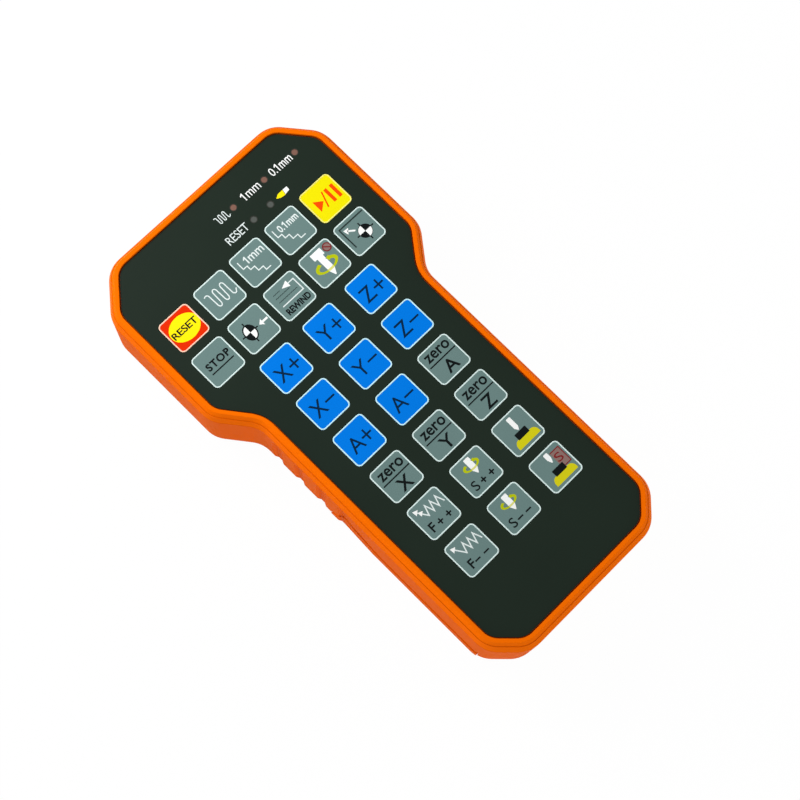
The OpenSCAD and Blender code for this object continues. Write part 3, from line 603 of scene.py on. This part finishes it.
def spin_ring(page, x, y, rx, ry, heavy, start, end):
    """A lime ring round a tool, open behind it and thinnest in front, with an arrow head at its end."""
    steps = 44
    thin = [heavy * (0.78 + 0.22 * math.cos(math.tau * i / steps)) for i in range(steps + 1)]
    outer = arc(x, y, rx, ry, start, end, steps)
    inner = [(ox - (ox - x) / rx * t, oy - (oy - y) / ry * t * 0.8) for (ox, oy), t in zip(outer, thin)]
    page.band(outer, inner, "lime")
    tail = (Vector(outer[-1]) + Vector(inner[-1])) / 2
    ahead = (Vector(outer[-1]) - Vector(outer[-3])).normalized()
    page.arrow_head(tail + ahead * heavy * 0.8, tail - ahead * 0.1, heavy * 0.68, "lime", 1)


def crossing(page, x, half, y, rx, ry, heavy):
    """The front of the ring where it crosses the tool, paler over the white."""
    swing = math.degrees(math.asin(half / rx))
    outer = arc(x, y, rx, ry, 270 - swing, 270 + swing, 8)
    page.band(outer, [(ox, oy + heavy * 0.56) for ox, oy in outer], "pale_lime", 2)


def tool_bit(page, x0, x1, top, shoulder, tip, tip_x):
    """A white bit, point down."""
    page.shape([(tip_x - 0.18, tip + 0.15), (tip_x, tip), (tip_x + 0.18, tip + 0.15), (x1, shoulder),
                (x1, top - 0.15), (x1 - 0.25, top), (x0 + 0.25, top), (x0, top - 0.15), (x0, shoulder)],
               "white", 1)


def small_plus(page, x, y):
    """A small black plus sign."""
    half, thick = 1.0, 0.25
    page.box(x - half, x + half, y - thick, y + thick, "black")
    page.box(x - thick, x + thick, y + thick, y + half, "black")
    page.box(x - thick, x + thick, y - half, y - thick, "black")


# ---------- what each key says ----------

def reset(page):
    page.disc(0.28, 0, 5.33, 4.18, "yellow")
    page.text("RESET", 0.12, -0.15, 9.45, 2.3, "black", 0.5, 1, 0.95)


def jog_wave(page):
    wave(page, 0, 0, 1.0, 1.0, 0.36)


def step_1mm(page):
    staircase(page, -4.17)
    page.figure_one(-1.45, 2.52, 2.75, "soft_white", 0.45)
    page.text("mm", 2.2, 2.12, 5.6, 2.0, "soft_white", 0.46)


def step_01mm(page):
    staircase(page, -4.42)
    page.text("0.", -1.8, 2.62, 1.9, 2.5, "soft_white", 0.38)
    page.figure_one(0.0, 2.62, 2.5, "soft_white", 0.38)
    page.text("mm", 2.82, 2.27, 4.1, 1.8, "soft_white", 0.4)


def play_pause(page):
    page.shape([(-3.85, -2.4), (-1.05, -0.15), (-3.85, 1.9)], "orange")
    page.line([(-1.2, -2.65), (0.62, 2.48)], 0.48, "orange")
    page.box(1.32, 2.45, -2.75, 2.38, "orange")
    page.box(3.65, 4.82, -2.75, 2.38, "orange")


def stop(page):
    page.text("STOP", 0.48, 0.64, 8.95, 2.55, "black", 0.56, 0, 1.15)
    page.line([(-4.0, -1.77), (4.75, -1.77)], 0.42, "black")


def goto_datum(page):
    datum_target(page, -1.63, -0.05, 2.2, 2.84, 3.1, 3.0, 3.8, 3.8, 0.4)
    page.arrow_head((2.05, -0.1), (3.4, -0.1), 1.15, "white")
    page.box(3.4, 5.4, -0.45, 0.25, "white")


def rewind(page):
    page.arrow_head((-0.14, 3.36), (2.45, 3.36), 1.15, "white")
    page.line([(2.45, 3.36), (4.64, 3.36), (4.64, -1.18), (-3.9, -1.18)], 0.37, "soft_white")
    for x0, x1, y in ((-3.8, -1.05, 3.36), (-3.9, 1.8, 2.0), (-3.9, 3.6, 0.5)):
        teeth = max(6, round((x1 - x0) * 2.4))      # rough lines of script
        page.line([(x0 + (x1 - x0) * i / teeth, y + (0.08 if i % 2 else -0.08)) for i in range(teeth + 1)],
                  0.19, "soft_black")
    page.text("REWIND", 0.36, -3.6, 9.25, 2.25, "black", 0.42)


def spindle(page):
    spin_ring(page, 0.2, -0.75, 4.3, 2.15, 1.4, 118, 415)
    page.shape([(-1.82, 2.6), (-1.67, 2.45), (2.15, 2.45), (2.3, 2.6), (2.3, 4.86), (-1.82, 4.86)],
               "white", 1)
    page.shape([(0.16, -4.98), (0.42, -4.7), (1.48, -2.75), (1.48, 2.45), (-0.78, 2.45), (-0.78, -2.75),
                (-0.06, -4.7)], "white", 1)
    crossing(page, 0.35, 1.13, -0.75, 4.3, 2.15, 1.4)
    page.disc(4.18, 3.45, 1.35, 1.35, "blush", 2)
    page.ring(4.18, 3.45, 1.5, 1.5, 0.34, "maroon", 3)
    page.line([(3.2, 4.35), (5.1, 2.6)], 0.36, "maroon", 4)


def home(page):
    page.line([(5.55, 4.5), (-4.4, 4.5), (-4.4, -3.1)], 0.46, "soft_black")
    page.line([(-2.75, 2.68), (-0.73, 1.1)], 0.55, "white")
    page.arrow_head((-3.7, 3.45), (-2.5, 2.45), 1.1, "white")
    datum_target(page, 1.4, -1.1, 2.35, 2.35, 3.3, 3.35, 3.45, 3.4, 0.14)


def axis_key(letter, sign):
    """A dark axis letter and a plus or a minus; those of the first row sit a little lower."""
    middle, width = {"X": (-1.95, 4.45), "Y": (-1.92, 4.4), "Z": (-1.92, 4.15),
                     "A": (-1.67, 4.62)}[letter]
    y = -0.43 if sign == "+" and letter != "A" else -0.13

    def draw(page):
        page.text(letter, middle, y, width, 4.93, "navy", 0.68)
        page.box(0.86, 4.54, y - 0.3, y + 0.3, "navy")
        if sign == "+":
            page.box(2.4, 3.0, y + 0.3, y + 1.96, "navy")
            page.box(2.4, 3.0, y - 1.94, y - 0.3, "navy")
    return draw


def zero_key(letter):
    """The word zero over a line and an axis letter."""
    width = {"X": 4.55, "Y": 4.45, "Z": 4.15, "A": 4.55}[letter]
    lift = 0.42 if letter == "A" else 0.0

    def draw(page):
        page.text("zero", 0.26, 2.78 + lift, 9.3, 2.65, "black", 0.67)
        page.line([(-5.1, 0.28 + lift), (5.5, 0.28 + lift)], 0.42, "black")
        page.text(letter, 0.45, -2.95 + lift, width, 4.2, "black", 0.82)
    return draw


def feed_key(sign):
    """A feed zigzag behind one or two arrow heads, over F and two signs."""
    def draw(page):
        page.line([(-3.7, 3.8), (-1.45, 0.55), (-0.42, 3.6), (0.7, 0.55), (1.65, 3.6), (2.85, 0.55),
                   (3.85, 3.6), (5.05, 0.6)], 0.4, "soft_white")
        page.arrow_head((-4.5, 4.75), (-3.55, 3.55), 0.95, "white", 1)
        if sign == "+":
            page.arrow_head((-3.4, 3.45), (-2.6, 2.35), 0.9, "white", 2)
            page.text("F", -3.23, -2.7, 1.7, 3.1, "black", 0.57)
            for x in (-0.25, 3.15):
                small_plus(page, x, -2.95)
        else:
            page.text("F", -2.75, -2.8, 1.7, 3.0, "black", 0.57)
            page.box(-1.6, 0.45, -3.35, -2.87, "black")
            page.box(1.95, 4.05, -3.35, -2.87, "black")
    return draw


def spindle_key(sign):
    """A spinning bit over S and two signs."""
    def draw(page):
        spin_ring(page, 0.25, 2.5, 3.05, 1.5, 1.05, 125, 408)
        tool_bit(page, -0.6, 1.45, 5.1, 1.0, -0.64, 0.36)
        crossing(page, 0.42, 1.0, 2.5, 3.05, 1.5, 1.05)
        page.text("S", -3.25, -2.85, 1.95, 3.15, "black", 0.54)
        if sign == "+":
            for x in (-0.1, 3.3):
                small_plus(page, x, -3.1)
        else:
            page.box(-1.6, 0.6, -3.45, -2.97, "black")
            page.box(1.8, 3.9, -3.45, -2.97, "black")
    return draw


def touch_plate(page):
    """A black block on a lime base with round shoulders."""
    page.shape([(-3.85, -4.75), (4.9, -4.75)] + arc(3.1, -4.0, 1.8, 1.95, 0, 90, 8)
               + arc(-2.05, -4.0, 1.8, 1.95, 90, 180, 8), "plate_lime")
    page.box(-1.9, 2.55, -2.4, -0.2, "black", 1)


def probe(page):
    touch_plate(page)
    tool_bit(page, -0.4, 1.15, 4.9, 1.2, 0.08, 0.37)


def probe_auto(page):
    touch_plate(page)
    tool_bit(page, -0.4, 1.15, 5.0, 3.0, 1.55, 0.37)
    page.box(1.55, 5.0, -1.6, 4.0, "blush")
    page.line([(1.55, 4.0), (5.05, 4.0), (5.05, -1.62), (2.6, -1.62)], 0.32, "maroon", 1)
    page.text("S", 2.98, 1.55, 2.3, 2.85, "maroon", 0.6, 1)


# For each key: its film, the ink of its border and what draws its legend
KEYS = {
    "key_reset": ("red", "border_pink", reset), "key_jog_wave": ("grey", "border", jog_wave),
    "key_step_1mm": ("grey", "border", step_1mm), "key_step_01mm": ("grey", "border", step_01mm),
    "key_play_pause": ("yellow", "border_yellow", play_pause), "key_stop": ("grey", "border", stop),
    "key_goto_datum": ("grey", "border", goto_datum), "key_rewind": ("grey", "border", rewind),
    "key_spindle": ("grey", "border", spindle), "key_home": ("grey", "border", home),
    "key_probe": ("grey", "border", probe), "key_probe_auto": ("grey", "border", probe_auto),
}
for letter in "XYZA":
    for word, sign in (("plus", "+"), ("minus", "-")):
        KEYS[f"key_{letter.lower()}_{word}"] = ("blue", "border_blue", axis_key(letter, sign))
    KEYS[f"key_zero_{letter.lower()}"] = ("grey", "border", zero_key(letter))
for word, sign in (("up", "+"), ("down", "-")):
    KEYS[f"key_feed_{word}"] = ("grey", "border", feed_key(sign))
    KEYS[f"key_spindle_{word}"] = ("grey", "border", spindle_key(sign))


# ---------- the keys' borders, made by geometry nodes ----------

def new_geometry_tree(name, inputs):
    """A geometry node tree with the sockets of its group's input and its output node."""
    tree = bpy.data.node_groups.new(name, "GeometryNodeTree")
    for label, kind in inputs:
        tree.interface.new_socket(label, in_out="INPUT", socket_type=kind)
    tree.interface.new_socket("Geometry", in_out="OUTPUT", socket_type="NodeSocketGeometry")
    return tree, tree.nodes.new("NodeGroupInput").outputs, tree.nodes.new("NodeGroupOutput")


def end_tree(tree, geometry, material, result):
    """Realize Instances and Set Material, then the tree's output."""
    realize = tree.nodes.new("GeometryNodeRealizeInstances")
    paint = tree.nodes.new("GeometryNodeSetMaterial")
    tree.links.new(geometry, realize.inputs["Geometry"])
    tree.links.new(realize.outputs["Geometry"], paint.inputs["Geometry"])
    tree.links.new(material, paint.inputs["Material"])
    tree.links.new(paint.outputs["Geometry"], result.inputs["Geometry"])


def grown(tree, values):
    """The plain mesh that a geometry tree makes with these inputs."""
    holder = placed("maker", bpy.data.meshes.new("maker"))
    maker = holder.modifiers.new("maker", "NODES")
    maker.node_group = tree
    for socket in tree.interface.items_tree:
        if socket.in_out == "INPUT":
            maker[socket.identifier] = values[socket.name]
    return baked(holder)


def key_border_tree():
    """A flat frame with rounded corners: a square path, filleted and swept with a flat section."""
    tree, given, result = new_geometry_tree(
        "key_border", [("Side", "NodeSocketFloat"), ("Corner radius", "NodeSocketFloat"),
                       ("Line width", "NodeSocketFloat"), ("Thickness", "NodeSocketFloat"),
                       ("Ink", "NodeSocketMaterial")])
    path = tree.nodes.new("GeometryNodeCurvePrimitiveQuadrilateral")
    fillet = tree.nodes.new("GeometryNodeFilletCurve")
    fillet.mode = "POLY"
    fillet.inputs["Count"].default_value = 10
    section = tree.nodes.new("GeometryNodeCurvePrimitiveQuadrilateral")
    sweep = tree.nodes.new("GeometryNodeCurveToMesh")
    tree.links.new(given["Side"], path.inputs["Width"])
    tree.links.new(given["Side"], path.inputs["Height"])
    tree.links.new(path.outputs["Curve"], fillet.inputs["Curve"])
    tree.links.new(given["Corner radius"], fillet.inputs["Radius"])
    tree.links.new(given["Line width"], section.inputs["Width"])
    tree.links.new(given["Thickness"], section.inputs["Height"])
    tree.links.new(fillet.outputs["Curve"], sweep.inputs["Curve"])
    tree.links.new(section.outputs["Curve"], sweep.inputs["Profile Curve"])
    end_tree(tree, sweep.outputs["Mesh"], given["Ink"], result)
    return tree


KEY_BORDER = key_border_tree()


def make_key(name, film, border, draw):
    """A key's film and, printed on it, its border and its legend."""
    low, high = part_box(name)
    middle_x, middle_y = (low[0] + high[0]) / 2, (low[1] + high[1]) / 2
    side = (high[0] - low[0]) - 2 * KEY_FLANGE * MM
    paint_node(name, KEY_FILMS[film])
    page = Print(name + "_legend", name, "key_" + film, middle_x, middle_y)
    draw(page)
    page.finish()
    mesh = grown(KEY_BORDER, {"Side": side - BORDER_W * MM, "Line width": BORDER_W * MM,
                              "Corner radius": (KEY_CORNER - BORDER_W / 2) * MM,
                              "Thickness": 2 * INK_T, "Ink": INKS[border]})
    mesh.transform(Matrix.Translation((middle_x, middle_y, FACE_Z + INK_T)))
    add_piece(name + "_border", mesh, name, "key_" + film)


for key_name, (film, border, draw) in KEYS.items():
    make_key(key_name, film, border, draw)


# ---------- the overlay's labels ----------

def overlay_labels():
    """Labels beside the lamp windows, placed from the windows' own boxes."""
    steps_low, steps_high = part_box("step_lamp_windows")
    status_low, status_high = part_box("status_lamp_windows")
    step_y = (steps_low[1] + steps_high[1]) / 2 / MM
    status_y = (status_low[1] + status_high[1]) / 2 / MM
    first_x = steps_low[0] / MM + WINDOW_R
    last_x = steps_high[0] / MM - WINDOW_R
    middle_x = (first_x + last_x) / 2
    status_x = (status_low[0] / MM + WINDOW_R, status_high[0] / MM - WINDOW_R)
    page = Print("overlay_labels", "housing", "overlay_film", 0, 0)
    halo = WINDOW_R + 0.06
    for x, y in ([(x, step_y) for x in (first_x, middle_x, last_x)] + [(x, status_y) for x in status_x]):
        page.ring(x, y, halo, halo, WINDOW_HALO, "smoke")
    wave(page, first_x - 4.95, step_y, 0.54, 0.5, 0.28)
    page.figure_one(middle_x - 8.45, step_y + 0.25, 2.9, "white", 0.37)
    page.text("mm", middle_x - 4.75, step_y - 0.12, 5.3, 2.1, "white", 0.37)
    page.text("0.", last_x - 9.35, step_y + 0.1, 2.2, 2.9, "white", 0.34)
    page.figure_one(last_x - 7.35, step_y + 0.1, 2.9, "white", 0.36)
    page.text("mm", last_x - 4.15, step_y - 0.3, 4.6, 2.1, "white", 0.36)
    page.text("RESET", status_low[0] / MM - 5.7, status_y + 0.1, 8.3, 2.8, "soft_white", 0.33, 0, 0.95)
    x = status_high[0] / MM + 1.4       # a cutter, yellow at its point
    page.shape([(x, status_y), (x + 1.3, status_y - 0.75), (x + 3.0, status_y - 0.95),
                (x + 3.3, status_y + 0.85), (x + 1.3, status_y + 0.8)], "yellow")
    page.shape([(x + 3.15, status_y - 0.85), (x + 5.0, status_y - 0.55), (x + 5.1, status_y + 0.8),
                (x + 3.45, status_y + 0.85)], "white")
    page.finish()


overlay_labels()


# ---------- the cells and their springs ----------

def lay_down(mesh, low, high, end_y, direction):
    """Turns a standing mesh to point along Y from end_y, on the long axis of a cell's box."""
    start = Vector(((low[0] + high[0]) / 2, end_y, (low[2] + high[2]) / 2))
    mesh.transform(Matrix.Translation(start) @ Matrix.Rotation(math.radians(-90 * direction), 4, "X"))


def cell(node, direction):
    """A round cell in a plain sleeve with a pale band at its button end; direction is +1 or -1 along Y."""
    low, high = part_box(node)
    radius = (high[2] - low[2]) / 2 / MM
    length = (high[1] - low[1]) / MM
    shoulder = length - 1.3         # where the button starts
    band_start = shoulder * 0.72
    edge = 0.9                      # radius of the rolled ends
    quarter = [math.radians(15 * i) for i in range(1, 7)]
    body = [(2.6, 0.0), (radius - edge, 0.05)]
    body += [(radius - edge + edge * math.sin(a), edge - edge * math.cos(a)) for a in quarter]
    body += [(radius, band_start), (radius, shoulder - edge)]
    body += [(radius - edge + edge * math.cos(a), shoulder - edge + edge * math.sin(a)) for a in quarter]
    body += [(radius - 1.6, shoulder - 0.1), (2.9, shoulder - 0.25), (2.75, shoulder),
             (2.75, length - 0.25), (2.5, length)]
    mesh = lathe(body, 48)
    for material in (CELL_SLEEVE, CELL_BAND, TINNED):
        mesh.materials.append(material)
    for polygon in mesh.polygons:
        height = polygon.center.z / MM
        across = polygon.center.xy.length / MM
        if height > band_start and across > radius - 1.7:
            polygon.material_index = 1
        elif height < 0.5 or across < radius - 1.5:
            polygon.material_index = 2
    lay_down(mesh, low, high, low[1] if direction > 0 else high[1], direction)
    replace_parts(add_piece(node + "_sleeved", mesh, "housing", "cell_sleeve"), node)


cell("cell_left", 1)
cell("cell_right", -1)


def coil_tree():
    """A conical wire coil with closed ends, standing on Z = 0."""
    tree, given, result = new_geometry_tree(
        "wire_coil", [("Turns", "NodeSocketFloat"), ("Wide radius", "NodeSocketFloat"),
                      ("Narrow radius", "NodeSocketFloat"), ("Height", "NodeSocketFloat"),
                      ("Wire radius", "NodeSocketFloat"), ("Metal", "NodeSocketMaterial")])
    spiral = tree.nodes.new("GeometryNodeCurveSpiral")
    spiral.inputs["Resolution"].default_value = 40
    wire = tree.nodes.new("GeometryNodeCurvePrimitiveCircle")
    wire.inputs["Resolution"].default_value = 12
    sweep = tree.nodes.new("GeometryNodeCurveToMesh")
    sweep.inputs["Fill Caps"].default_value = True
    for label, socket in (("Turns", "Rotations"), ("Wide radius", "Start Radius"),
                          ("Narrow radius", "End Radius"), ("Height", "Height")):
        tree.links.new(given[label], spiral.inputs[socket])
    tree.links.new(given["Wire radius"], wire.inputs["Radius"])
    tree.links.new(spiral.outputs["Curve"], sweep.inputs["Curve"])
    tree.links.new(wire.outputs["Curve"], sweep.inputs["Profile Curve"])
    end_tree(tree, sweep.outputs["Mesh"], given["Metal"], result)
    return tree


def cell_springs():
    """Both coil springs as one piece, each from its end of the bay towards its cell."""
    low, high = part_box("cell_springs")
    wire = 0.35 * MM        # radius
    tree = coil_tree()
    both = bmesh.new()
    for cell_node, end_y, direction in (("cell_left", low[1], 1), ("cell_right", high[1], -1)):
        cell_low, cell_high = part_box(cell_node)
        gap = (cell_low[1] - end_y) if direction > 0 else (end_y - cell_high[1])
        mesh = grown(tree, {"Turns": 3.0, "Wide radius": 4.6 * MM, "Narrow radius": 2.4 * MM,
                            "Height": gap - 2.2 * wire, "Wire radius": wire, "Metal": SPRING_STEEL})
        lay_down(mesh, cell_low, cell_high, end_y + direction * wire, direction)
        both.from_mesh(mesh)
    for face in both.faces:
        face.smooth = True
    mesh = bpy.data.meshes.new("cell_springs_wire")
    both.to_mesh(mesh)
    both.free()
    piece = add_piece("cell_springs_wire", mesh, "housing", "spring_steel", SPRING_STEEL)
    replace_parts(piece, "cell_springs")


cell_springs()


# ---------- mouldings and plain nodes ----------

smooth_moulding("front_shell", "housing", "front_housing", FRONT_ORANGE)
smooth_moulding("rear_shell", "housing", "rear_housing", REAR_ORANGE)
smooth_moulding("battery_door", "battery_door", "rear_housing", REAR_ORANGE)

NODE_MATERIALS = {
    "overlay": OVERLAY_FILM, "step_lamp_windows": WINDOW_RED, "status_lamp_windows": WINDOW_GREY,
    "light_guides": ACRYLIC, "lamps": LAMP_WHITE, "circuit_board": SOLDER_MASK,
    "switch_bases": SWITCH_PLASTIC, "microcontroller": BLACK_PLASTIC, "crystal": TINNED,
    "capacitors": CAN_SLEEVE, "inductor": BLACK_PLASTIC, "radio_board": RADIO_MASK,
    "radio_shield": TINNED, "radio_pins": GOLD, "cell_contacts": SPRING_STEEL,
    "contact_bridge": SPRING_STEEL, "case_screws": ZINC, "board_screws": ZINC,
}
for node_name, node_material in NODE_MATERIALS.items():
    paint_node(node_name, node_material)


# ---------- floor, light and camera ----------

def floor():
    """A white floor that keeps the object's faint shadow and can be seen through from below."""
    half, drop = 3.0, 0.0002        # metres
    brightness = 0.98               # how far the floor glows where it is seen directly
    clear_reach = 2 * MM            # light passes this close to the object, so its underside shows
    mesh = bpy.data.meshes.new("floor")
    mesh.from_pydata([(-half, -half, 0), (half, -half, 0), (half, half, 0), (-half, half, 0)],
                     [], [(0, 1, 2, 3)])
    surface = placed("floor", mesh)
    material, tree, shader = new_material("floor_white")
    shader.inputs["Roughness"].default_value = 0.9
    shader.inputs["Specular IOR Level"].default_value = 0.0
    path, seen = seen_directly(tree)
    paint = mix_colours(tree, seen, (0.5, 0.5, 0.5, 1), (1, 1, 1, 1))
    tree.links.new(paint, shader.inputs["Base Color"])
    glow = tree.nodes.new("ShaderNodeEmission")
    lit = tree.nodes.new("ShaderNodeMixShader")
    tree.links.new(math_node(tree, "MULTIPLY", seen, brightness), lit.inputs["Fac"])
    tree.links.new(shader.outputs["BSDF"], lit.inputs[1])
    tree.links.new(glow.outputs["Emission"], lit.inputs[2])
    side = tree.nodes.new("ShaderNodeNewGeometry")
    clear = tree.nodes.new("ShaderNodeBsdfTransparent")
    either = tree.nodes.new("ShaderNodeMixShader")
    unseen = math_node(tree, "SUBTRACT", 1.0, path.outputs["Is Camera Ray"])
    near = math_node(tree, "LESS_THAN", path.outputs["Ray Length"], clear_reach)
    beneath = math_node(tree, "MULTIPLY", near, unseen)
    tree.links.new(math_node(tree, "MAXIMUM", side.outputs["Backfacing"], beneath), either.inputs["Fac"])
    tree.links.new(lit.outputs["Shader"], either.inputs[1])
    tree.links.new(clear.outputs["BSDF"], either.inputs[2])
    tree.links.new(either.outputs["Shader"], tree.nodes["Material Output"].inputs["Surface"])
    mesh.materials.append(material)
    surface.location.z = -drop


def soft_light(name, place, aim, size, power):
    """A round soft lamp; places and size in metres, power in watts."""
    light = bpy.data.lights.new(name, "AREA")
    light.shape = "DISK"
    light.size = size
    light.energy = power
    lamp = placed(name, light)
    lamp.location = place
    lamp.visible_camera = False
    lamp.rotation_euler = (Vector(aim) - Vector(place)).to_track_quat("-Z", "Y").to_euler()


def studio():
    """White surroundings, dimmer as light than as backdrop, and three soft lamps."""
    world = bpy.data.worlds.new("studio")
    bpy.context.scene.world = world
    world.use_nodes = True
    tree = world.node_tree
    background = tree.nodes["Background"]
    ambient = 0.3
    strength = math_node(tree, "MAXIMUM", seen_directly(tree)[1], ambient)
    tree.links.new(strength, background.inputs["Strength"])
    background.inputs["Color"].default_value = (1, 1, 1, 1)
    soft_light("head_softbox", (-0.10, 0.32, 0.28), (0, 0.04, 0.02), 0.3, 1.62)
    soft_light("side_softbox", (0.42, -0.26, 0.2), (0, 0, 0.02), 0.32, 1.0)
    soft_light("low_fill", (-0.46, -0.4, 0.16), (0, 0, 0.02), 0.3, 1.35)


def camera():
    """The camera above the tail's left corner, turned so that the head points up to the left."""
    data = bpy.data.cameras.new("camera")
    data.sensor_width = 36
    data.lens = 84.63
    eye = placed("camera", data)
    right = Vector((0.70570, -0.70737, 0.04013))
    ahead = Vector((0.21041, 0.15516, -0.96522))
    up = right.cross(ahead)
    turn = Matrix((right, up, -ahead)).transposed().to_4x4()
    eye.matrix_world = Matrix.Translation((-0.11928, -0.09416, 0.57606)) @ turn
    bpy.context.scene.camera = eye


floor()
studio()
camera()
bpy.context.scene.view_settings.view_transform = "Standard"
